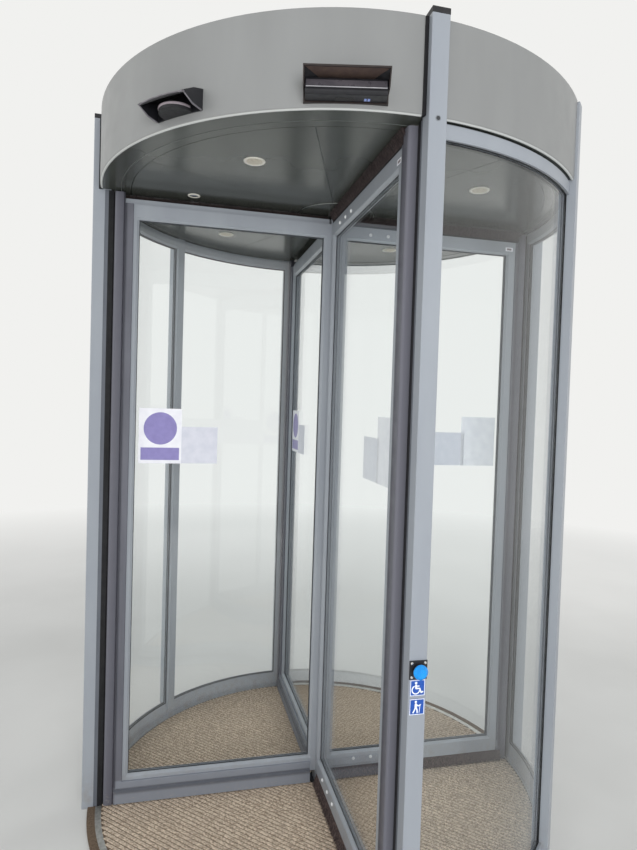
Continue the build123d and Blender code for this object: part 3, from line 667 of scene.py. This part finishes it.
# %% Drum gaskets
half_post = math.degrees(POST_WIDTH / (GLASS_INSIDE + 4))
end = -POST_ANGLE - half_post
BAYS = ((-end, -0.25), (2.9, end), (180 - end, 177.1), (180.25, 180 + end))
loops = []
for first, last in BAYS:
    sweep = [first + 0.1 + (last - first - 0.2) * i / 16 for i in range(17)]
    for radius in (GLASS_INSIDE - 1.8, GLASS_OUTSIDE + 1.8):
        low, high = ([polar(radius, a, z) for a in sweep] for z in (RAIL_TOP + 0.8, RAIL_HEAD - 0.8))
        loops.append([*low, *high[::-1], low[0]])
drum_gaskets = beads("drum_glazing_gaskets", loops, 2.0, "glazing_gasket_rubber", "drum", "black_rubber")
print("drum gaskets", len(loops), "loops", len(drum_gaskets.data.polygons), "faces")

# %% [markdown]
# ## Brush strips
# Brushes close the gap above each wing, and under its bottom rail on the trailing side: rows of nylon
# fibre in an aluminium holder. Real fibres are far too many to draw, so each strand stands for a tuft
# 3 mm thick at its root. They drag along the ceiling and the mat, so all are swept back. The tree cuts
# a line into points, stands a four-sided cone on each, turns it to the wing, leans it, and tips and
# stretches it at random, with a fixed seed.

# %% Bristle tree
tree, size = tree_with("brush_bristles", Spacing=0.0024, Length=0.02, Thickness=0.0016, Lean=0.0, Heading=0.0,
                       Seed=3, Material=None)
path = add(tree, "GeometryNodeMeshToCurve", {"Mesh": size["Geometry"]})
rooted = add(tree, "GeometryNodeResampleCurve", {0: path, "Length": size["Spacing"]}, mode="LENGTH")
strand = add(tree, "GeometryNodeMeshCone", {"Vertices": 4, "Radius Top": 0.0006,
             "Radius Bottom": size["Thickness"], "Depth": size["Length"]}, fill_type="NGON")
tilt = add(tree, "FunctionNodeRandomValue", {0: (-0.1, -0.1, -0.1), 1: (0.1, 0.1, 0.1), "Seed": size["Seed"]},
           data_type="FLOAT_VECTOR")
swept = add(tree, "ShaderNodeCombineXYZ", {"X": size["Lean"], "Z": size["Heading"]})
lean = add(tree, "ShaderNodeVectorMath", {0: tilt, 1: swept}, operation="ADD")
tall = add(tree, "FunctionNodeRandomValue", {2: 0.95, 3: 1.0, "Seed": size["Seed"]}, data_type="FLOAT").outputs[1]
grown = add(tree, "ShaderNodeCombineXYZ", {"X": 1.0, "Y": 1.0, "Z": tall})
tufts = add(tree, "GeometryNodeInstanceOnPoints",
            {"Points": rooted, "Instance": strand, "Rotation": lean, "Scale": grown})
bristle_tree = close_tree(tree, tufts, size["Material"])
print("bristle tree", len(bristle_tree.nodes), "nodes")

# %% Brushes of the four wings
BRUSH_TOP, FOOT_TOP, HOLDER_TOP, SKIRT_LOW = 2302.4, 2267.0, 2281.0, 9.5
COVER_LOW, COVER_EDGE = 2300.6, 153.0
BRUSH_IN, SKIRT_IN, BRUSH_OUT = 28, 45, STILE_OUT - 1
SWEPT_TOP, SWEPT_SKIRT = 20.0, 19.0


def bristles(work, angle, root, tip, swept, rows, along, seed):
    """Rows of bristles along a wing, from a root height to a tip height, swept back by a distance."""
    runs = [[polar(r, angle, root, t) for r in along] for t in rows]
    back = math.atan2(swept, abs(tip - root))
    lean = back if tip > root else math.pi - back
    tufts = grow(lines(runs), bristle_tree, Length=math.hypot(tip - root, swept) * MM, Lean=lean,
                 Heading=math.radians(angle), Seed=seed, Material=finish["dark_brush_fibre"])
    tufts.materials.clear()
    work.from_mesh(tufts)


TOP_ROWS, SKIRT_ROWS = (-15.5, -12.0, -8.5, -5.5, -3.0, -0.4), (-17.5, -14.8, -11.6, -8.0, -4.0, 1.0)
TOP_ROOT, SKIRT_ROOT = FOOT_TOP - 1, WING_LOW - 1
for number, angle in enumerate(WING_ANGLES, 1):
    work = bmesh.new()
    bristles(work, angle, TOP_ROOT, BRUSH_TOP, SWEPT_TOP, TOP_ROWS, (COVER_EDGE, BRUSH_OUT), number)
    bristles(work, angle, TOP_ROOT, COVER_LOW, SWEPT_TOP, TOP_ROWS, (BRUSH_IN + 1, COVER_EDGE - 2), 20 + number)
    bristles(work, angle, SKIRT_ROOT, SKIRT_LOW, SWEPT_SKIRT, SKIRT_ROWS, (SKIRT_IN, BRUSH_OUT), 10 + number)
    # A slimmer solid core inside each brush keeps light from showing through it.
    for along, top in (((COVER_EDGE + 1, BRUSH_OUT - 1), BRUSH_TOP), ((BRUSH_IN + 2, COVER_EDGE - 1), COVER_LOW)):
        bar(work, angle, along, (-14.5, -0.8), (TOP_ROOT, top - 2.6), lean=-SWEPT_TOP * 0.93)
    bar(work, angle, (SKIRT_IN + 1, BRUSH_OUT - 1), (-17, 1), (SKIRT_ROOT, 17), lean=-SWEPT_SKIRT * 0.8)
    bar(work, angle, (BRUSH_IN, STILE_OUT), (-18.5, 2), (WING_HIGH, FOOT_TOP), 1)
    bar(work, angle, (BRUSH_IN, STILE_OUT), (2, 9), (WING_HIGH, HOLDER_TOP - 1.2), 2)
    bar(work, angle, (BRUSH_IN, STILE_OUT), (2, 8), (HOLDER_TOP - 1.2, HOLDER_TOP), 2)
    brush = place_piece(f"wing_{number}_brush_strips", as_mesh(work), "rotor", "brush_fibre", "dark_brush_fibre",
                        "black_sealing_rubber", "satin_powder_coating")
    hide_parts(f"wing_{number}_brushes")
    print(brush.name, len(brush.data.polygons), "faces")

# %% [markdown]
# ## Screws
# Each wing hangs on bolts through its rails, whose round heads show on the trailing face; their near
# white is a painted reflection of chrome. The post has a grey cap over its fixing, whose dark centre is
# painted shade of a recess, and the button plate four small heads. The tree sets a head on each point,
# turned along the direction that it carries.

# %% Screw tree
tree, size = tree_with("screw_heads", Scale=1.0, Material=None)
point_cloud = add(tree, "GeometryNodeMeshToPoints", {"Mesh": size["Geometry"]})
outward = add(tree, "GeometryNodeInputNamedAttribute", {"Name": "outward"}, data_type="FLOAT_VECTOR")
turn_to = add(tree, "FunctionNodeAlignRotationToVector", {"Vector": outward}, axis="Z")
head = add(tree, "GeometryNodeObjectInfo").outputs["Geometry"]
heads = add(tree, "GeometryNodeInstanceOnPoints",
            {"Points": point_cloud, "Instance": head, "Rotation": turn_to, "Scale": size["Scale"]})
screw_tree = close_tree(tree, heads, size["Material"])


def spots(places):
    """Points with the direction in which a head stands on each."""
    mesh = bpy.data.meshes.new("spots")
    mesh.from_pydata([p for p, _ in places], [], [])
    outward_data = mesh.attributes.new("outward", "FLOAT_VECTOR", "POINT")
    for item, (_, direction) in zip(outward_data.data, places):
        item.vector = direction
    return mesh


HEAD_RADIUS, HEAD_HEIGHT, SOCKET, BOLTS = 6.8, 4.2, 1.6, (142, 217, 290)
dome = [(1, 0.2), (0.93, 0.5), (0.76, 0.8), (0.5, 1)]
work = bmesh.new()
turned(work, [(0, -0.6), (HEAD_RADIUS, -0.6)] + [(HEAD_RADIUS * r, HEAD_HEIGHT * z) for r, z in dome]
       + [(SOCKET * 1.1, HEAD_HEIGHT), (SOCKET, HEAD_HEIGHT - 0.4), (0, HEAD_HEIGHT - 1.2)],
       ORIGIN, UP, 18)
head.node.inputs["Object"].default_value = bpy.data.objects.new("bolt_head", as_mesh(work, smooth=True))
places = [(polar(r, angle, z, -WING_FACE), facing(angle, 0, -1)) for angle in WING_ANGLES for r in BOLTS
          for z in ((WING_HIGH + SIGHT_HIGH) / 2, (WING_LOW + SIGHT_LOW) / 2)]
# The heads' near white is a painted reflection of chrome.
bolts = grow(spots(places), screw_tree, Material=finish["painted_chrome_reflection"])
wing_bolts = place_piece("wing_bolts", bolts, "rotor", "bare_aluminium")
print(wing_bolts.name, len(places))

# %% Screws on the post and the button plate
PLATE_FACE, BUTTON_HEIGHT, SCREW_OFFSET, CAP_HEIGHT, MIDDLE = 921, 848, 18.5, 2287, POST_WIDTH / 2
places = [(polar(PLATE_FACE, POST_ANGLE, BUTTON_HEIGHT + up, MIDDLE + aside), facing(POST_ANGLE))
          for up in (-SCREW_OFFSET, SCREW_OFFSET) for aside in (-SCREW_OFFSET, SCREW_OFFSET)]
screws = grow(spots(places), screw_tree, Scale=0.6, Material=finish["stainless_steel"])
plate_screws = place_piece("button_plate_screws", screws, "drum", "bare_aluminium")
work = bmesh.new()
for angle, side in POSTS:
    # The caps' flat centres carry the dark recess finish, a painted shade.
    turned(work, [(0, 0.5), (5.2, 0.5), (5.4, 0.9), (5.5, 1.0), (7.2, 0.8), (7.9, -0.3), (0, -0.3)],
           polar(POST_FACE, angle, CAP_HEIGHT, side * MIDDLE), facing(angle), 28, change=2)
post_plugs = place_piece("post_screw_caps", as_mesh(work, smooth=True), "drum", "black_plastic",
                         "painted_recess_shade", "screw_cap_plastic")
print(plate_screws.name, len(places), post_plugs.name, len(POSTS))

# %% [markdown]
# ## The ceiling
# The underside shows a fine bead where the outer ring is joined, a bright rim round the centre cover,
# downlights with a frosted lens, and small chrome detectors in white rings. Round parts are turned;
# the bead is swept along a circle.

# %% Ceiling details
JOINT_RADIUS, COVER_RADIUS, LAMP_CIRCLE, DETECTOR_CIRCLE = 820, 149.5, 591, 563
LAMP_ANGLES, DETECTOR_ANGLES = (93.3, 176.7, 273.3, 356.7), (49.5, 229.5)


def circle(radius, height, steps=160):
    """A closed circle round the axis."""
    run = [polar(radius, 360.0 * i / steps, height) for i in range(steps)]
    return run + [run[0]]


ring_joint = beads("ceiling_ring_joint", [circle(JOINT_RADIUS, CEILING)], 1.1, "ceiling_bead", "drum",
                   "ceiling_paint")
cover_rim = beads("centre_cover_rim", [circle(COVER_RADIUS, CEILING - 1.8, 96)], 1.3, "cover_rim_metal", "drum",
                  "bare_aluminium")

work = bmesh.new()
for angle in LAMP_ANGLES:
    turned(work, [(0, 0), (34.5, 0), (34.5, 1.2), (33.2, 2.4), (30, 2.7), (26.8, 1.9), (25.4, 1.0), (23.6, 1.3),
                  (13, 1.9), (0, 2.1)], polar(LAMP_CIRCLE, angle, CEILING), -UP, 40, change=6)
lamps = place_piece("downlight_fittings", as_mesh(work, smooth=True), "drum", "lamp_trim",
                    "white_lamp_trim", "frosted_lamp_lens")
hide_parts("downlights")

work = bmesh.new()
for angle in DETECTOR_ANGLES:
    turned(work, [(0, 0), (23, 0), (23, 1.1), (20.5, 2.2), (16.5, 2.4), (15.5, 1.5), (12, 1.7), (10.5, 2.6),
                  (6, 3.0), (0, 3.1)], polar(DETECTOR_CIRCLE, angle, CEILING), -UP, 36, change=5)
domes = place_piece("detector_domes", as_mesh(work, smooth=True), "drum", "lamp_trim",
                    "white_lamp_trim", "bright_chrome")
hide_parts("ceiling_detectors")
print("ceiling details", [o.name for o in (ring_joint, cover_rim, lamps, domes)])

# %% [markdown]
# ## Labels on the wings
# Each pane carries two thin vinyl labels at eye height, seen from both sides: a white one with a lilac
# disc and bar, and a pale grey one. Their words and marks are left off. A label is 0.25 mm thick.

# %% Vinyl labels
LABEL = PANE_FACE + 0.25
DISC_RADIUS, DISC_DEPTH = 61.5, 0.15
disc = [(0, 0), (DISC_RADIUS, 0), (DISC_RADIUS, DISC_DEPTH), (0, DISC_DEPTH)]
work = bmesh.new()
for angle in WING_ANGLES:
    bar(work, angle, (448, 600), (PANE_FACE, LABEL - 0.05), (1301, 1441), 2)
    bar(work, angle, (584, 742), (PANE_FACE, LABEL + 0.1), (1300, 1509), 0)
    bar(work, angle, (592, 734), (LABEL + 0.05, LABEL + 0.2), (1313, 1360), 1)
    turned(work, disc, polar(663, angle, 1433, LABEL + 0.05), facing(angle, 0, 1), 40, 1)
labels = place_piece("pane_labels", as_mesh(work), "rotor", "lamp_trim",
                     "white_vinyl", "lilac_vinyl", "pale_grey_vinyl")

# The small label at each rail's end: a grey field inside a white border.
LABEL_IN, LABEL_OUT, LABEL_LOW, LABEL_HIGH, BORDER, BORDER_END = 746.0, 780.0, 2221, 2237, 4, 6
wide, inside = (LABEL_IN, LABEL_OUT), (LABEL_LOW + BORDER, LABEL_HIGH - BORDER)
work = bmesh.new()
for angle in WING_ANGLES:
    bar(work, angle, wide, (-WING_FACE - 0.2, -WING_FACE), (LABEL_LOW, LABEL_HIGH), 1)
    for along, heights in ((wide, (inside[1], LABEL_HIGH)), (wide, (LABEL_LOW, inside[0])),
                           ((LABEL_IN, LABEL_IN + BORDER_END), inside),
                           ((LABEL_OUT - BORDER_END, LABEL_OUT), inside)):
        bar(work, angle, along, (-WING_FACE - 0.3, -WING_FACE - 0.1), heights, 0)
rail_labels = place_piece("rail_end_labels", as_mesh(work), "rotor", "lamp_trim",
                          "white_vinyl", "grey_print")
print("labels", [len(o.data.polygons) // 4 for o in (labels, rail_labels)], "faces a wing")

# %% [markdown]
# ## The signs under the button
# Two blue plates carry common pictograms in white: a wheelchair user and a person walking with a
# stick, each in a pale frame. `stroke` lays a flat bar with round ends along a run of points, in
# millimetres on the plate, and prints it just proud of the metal.

# %% Pictograms
SIGN_FACE, PRINT = 919.5, 0.12
print_count = 0


def flat_shape(work, outline, proud):
    """A print with an outline of (across, height) on the post, proud of the sign's face by a distance."""
    skin(work, [[polar(out, POST_ANGLE, z, s) for s, z in outline] for out in (SIGN_FACE - 0.2, SIGN_FACE + proud)])


def stroke(work, run, width):
    """Bars with round ends along a run; each lies a hair above the last, so none coincide."""
    global print_count
    for (s0, z0), (s1, z1) in zip(run, run[1:]):
        print_count += 1
        heading = math.degrees(math.atan2(z1 - z0, s1 - s0))
        outline = [end for centre, first in (((s1, z1), -90), ((s0, z0), 90))
                   for end in arc(centre, width / 2, heading + first, heading + first + 180, 6)]
        flat_shape(work, outline, PRINT + 0.002 * print_count)


def arc(centre, radius, first, last, steps):
    """Points along an arc, in degrees."""
    angles = [math.radians(first + (last - first) * i / steps) for i in range(steps + 1)]
    return [(centre[0] + radius * math.cos(a), centre[1] + radius * math.sin(a)) for a in angles]


LEFT, RIGHT, FRAME_HIGH = 5.2, 44.8, 40.6
work = bmesh.new()
for low in (779.2, 728.2):
    high = low + FRAME_HIGH
    for run in (((LEFT, low), (RIGHT, low)), ((LEFT, high), (RIGHT, high)),
                ((LEFT, low), (LEFT, high)), ((RIGHT, low), (RIGHT, high))):
        stroke(work, run, 1.7)
for centre, radius in (((20.4, 812.8), 3.4), ((21.6, 762.2), 3.2)):
    flat_shape(work, arc(centre, radius, 0, 345, 23), PRINT)
for width, *run in (
        (5.4, (20.4, 806.6), (21.2, 798.6)),
        (3.2, (21.0, 804.6), (29.0, 804.2)),
        (3.8, (21.6, 798.4), (31.0, 797.8), (35.6, 786.6), (40.0, 788.4)),
        (3.1, *arc((20.4, 794.4), 10.8, 118, 345, 16)),
        (6.2, (21.8, 755.6), (21.6, 747.6)),
        (3.0, (23.0, 755.4), (28.4, 750.8), (34.8, 753.6)),
        (3.8, (20.8, 747.0), (18.4, 740.2), (14.6, 733.6)),
        (3.8, (22.6, 747.0), (25.6, 740.4), (26.2, 733.4)),
        (1.6, (33.8, 752.6), (31.6, 732.6))):
    stroke(work, run, width)
pictograms = place_piece("sign_prints", as_mesh(work), "drum", "lamp_trim", "white_print")
print(pictograms.name, print_count, "strokes")

# %% [markdown]
# ## The sensors
# Both sensors are black plastic. The hooded one has a grey bead along its edge, a painted highlight,
# which bows up a little in the middle, and a painted highlight on the rim of its round head. The long
# one sits under a rain hood with a gusset in each corner, its underside lined with a brown painted
# reflection. Its face has a painted highlight along the crease and a paler painted reflection above it,
# its underside a dark window and two small blue lenses.

# %% Sensor details
RADAR, HOOD_HALF, HOOD_REACH, HOOD_EDGE, HOOD_BOW = 269.9, 81.8, 964.4, 2346.0, 4.5
cheek = [(893.0, 2325.0), (928.5, 2329.0), (HOOD_REACH, HOOD_EDGE - 0.6)]
left_edge, right_edge = ([polar(r, RADAR, z, side) for r, z in cheek] for side in (-HOOD_HALF, HOOD_HALF))
half_turn = math.degrees(math.asin(HOOD_HALF / HOOD_REACH))
bow = [i / 10 - 1 for i in range(21)]
front_edge = [polar(HOOD_REACH, RADAR + half_turn * i, HOOD_EDGE + HOOD_BOW * (1 - i ** 2)) for i in bow]
# The bead's grey is a painted highlight of the hood's edge.
hood_lip = beads("radar_hood_lip", [left_edge + front_edge + right_edge[::-1]], 2.4, "painted_lip_highlight", "drum",
                 "black_plastic", sides=6)

HEAD_AT, HEAD_RIM, RIM_HEIGHT = 899.0, 47.8, 2336.8
spread = [math.radians(-86 + 172 * i / 30) for i in range(31)]
rim = [polar(HEAD_AT + HEAD_RIM * math.cos(a), RADAR, RIM_HEIGHT, HEAD_RIM * math.sin(a)) for a in spread]
# The rim bead's pale grey is a painted highlight.
head_rim = beads("radar_head_rim", [rim], 4.4, "painted_rim_highlight", "drum", "black_plastic", sides=10)

# %% Bar sensor and its rain hood
BAR_SENSOR, HOOD_IN, HOOD_OUT, HOOD_SIDE, HOOD_TOP = 300.7, 898, 963, 105.6, 2369.6
work = bmesh.new()
for side in (-1, 1):
    corners = [(HOOD_OUT, HOOD_SIDE, HOOD_TOP), (HOOD_IN, 62, HOOD_TOP), (HOOD_IN, HOOD_SIDE, 2352.0),
               (HOOD_IN, HOOD_SIDE, HOOD_TOP)]
    made = [work.verts.new(polar(r, BAR_SENSOR, z, side * t)) for r, t, z in corners]
    for three in ((0, 1, 2), (0, 1, 3), (0, 2, 3), (1, 2, 3)):
        work.faces.new([made[i] for i in three])
gussets = place_piece("rain_hood_gussets", as_mesh(work), "drum", "black_plastic", "textured_black_plastic")

work = bmesh.new()
# A thin brown sheet under the hood's top: a painted reflection on the black plastic.
bar(work, BAR_SENSOR, (HOOD_IN, HOOD_OUT - 1.5), (-HOOD_SIDE - 0.2, HOOD_SIDE + 0.2), (HOOD_TOP - 0.4, HOOD_TOP + 0.6))
hood_reflection = place_piece("rain_hood_liner", as_mesh(work), "drum", "black_plastic", "painted_brown_reflection")

SENSOR_HALF, UNDERSIDE = 102, 2316.2
# A pale bead along the crease: a painted highlight of the glossy face.
crease_run = [polar(935.6, BAR_SENSOR, 2333.5, SENSOR_HALF * (i / 6 - 1)) for i in range(13)]
crease = beads("bar_sensor_crease", [crease_run], 1.7, "painted_crease_highlight", "drum", "black_plastic")

work = bmesh.new()
bar(work, BAR_SENSOR, (901, 917), (-27, 18), (UNDERSIDE - 0.8, UNDERSIDE), 0)
for lens in ((46, 52.5), (55, 61.5)):
    bar(work, BAR_SENSOR, (903.5, 914.5), lens, (UNDERSIDE - 0.9, UNDERSIDE), 1)
windows = place_piece("bar_sensor_windows", as_mesh(work), "drum", "black_plastic",
                      "dark_sensor_window", "pale_blue_lens")

work = bmesh.new()
# A paler plate on the upper face: a painted reflection.
bar(work, BAR_SENSOR, (934.6, 935.2), (-SENSOR_HALF, SENSOR_HALF), (2336.5, 2354.5), rake=-7.4)
face_plate = place_piece("bar_sensor_face", as_mesh(work), "drum", "black_plastic", "painted_reflection_plastic")
print("sensor details", [o.name for o in (hood_lip, head_rim, gussets, hood_reflection, crease, windows, face_plate)])

# %% [markdown]
# ## Floor, light and background
# A pale floor fades into the background far from the door, so no horizon shows. The light is a
# studio's: a bright, even world, a large soft lamp low to the right of the camera, and weaker ones to
# the left and behind, all hidden from mirror rays. The Light Path node fixes the background's colour
# for camera, mirror and glass rays, so the light itself stays at a plain level.

# %% Floor and world
BACKGROUND = "#F1F1EF"
tree, shader = start("pale_studio_floor", "#DDDCD8", 0.75)
give(tree, shader, mottle(tree, 900.0, "#DFDEDA", "#D8D7D3"))
place = add(tree, "ShaderNodeTexCoord").outputs["Object"]
distance = add(tree, "ShaderNodeVectorMath", {0: place}, operation="LENGTH").outputs["Value"]
glow = add(tree, "ShaderNodeEmission", {"Color": linear(BACKGROUND), "Strength": 1.0})
fade = between(tree, distance, 2.2, 7.0)
both = add(tree, "ShaderNodeMixShader", {0: fade, 1: shader, 2: glow})
tree.links.new(both.outputs[0], tree.nodes["Material Output"].inputs["Surface"])
work = bmesh.new()
turned(work, [(0, 0), (2000, 0), (9000, 0), (40000, 0)], ORIGIN, UP, 64)
mesh = as_mesh(work)
mesh.materials.append(finish["pale_studio_floor"])
floor = in_scene("studio_floor", mesh)

world = bpy.context.scene.world = bpy.data.worlds.new("studio_world")
world.use_nodes = True
tree = world.node_tree
tree.nodes.clear()
path = add(tree, "ShaderNodeLightPath").outputs
seen = calc(tree, "MAXIMUM", path["Is Camera Ray"], path["Is Glossy Ray"])
seen = calc(tree, "MAXIMUM", seen, path["Is Transmission Ray"])
lit = add(tree, "ShaderNodeBackground", {"Color": linear("#F4F7FA"), "Strength": 0.62})
shown = add(tree, "ShaderNodeBackground", {"Color": linear(BACKGROUND), "Strength": 1.0})
both = add(tree, "ShaderNodeMixShader", {0: seen, 1: lit, 2: shown})
add(tree, "ShaderNodeOutputWorld", {"Surface": both})
print("floor and world made")


# %% Lamps
def soft_lamp(name, place, target, size, power, tint="#FFFFFF"):
    """A large square lamp that looks at a point."""
    data = bpy.data.lights.new(name, "AREA")
    data.size = size
    data.energy = power
    data.color = linear(tint)[:3]
    lamp = in_scene(name, data)
    lamp.location = place
    lamp.rotation_mode = "QUATERNION"
    lamp.rotation_quaternion = (Vector(target) - Vector(place)).to_track_quat("-Z", "Y")
    lamp.visible_glossy = False


soft_lamp("key_lamp", (3.4, -3.9, 1.7), (0.0, -0.2, 0.95), 2.0, 128, "#FBFCFF")
soft_lamp("fill_lamp", (-2.9, -4.0, 2.9), (0, 0, 1.3), 2.6, 45)
soft_lamp("back_lamp", (0.6, 4.6, 3.4), (0, 0, 1.4), 2.6, 60)
scene = bpy.context.scene
scene.view_settings.view_transform = "Standard"
scene.cycles.transparent_max_bounces = 40
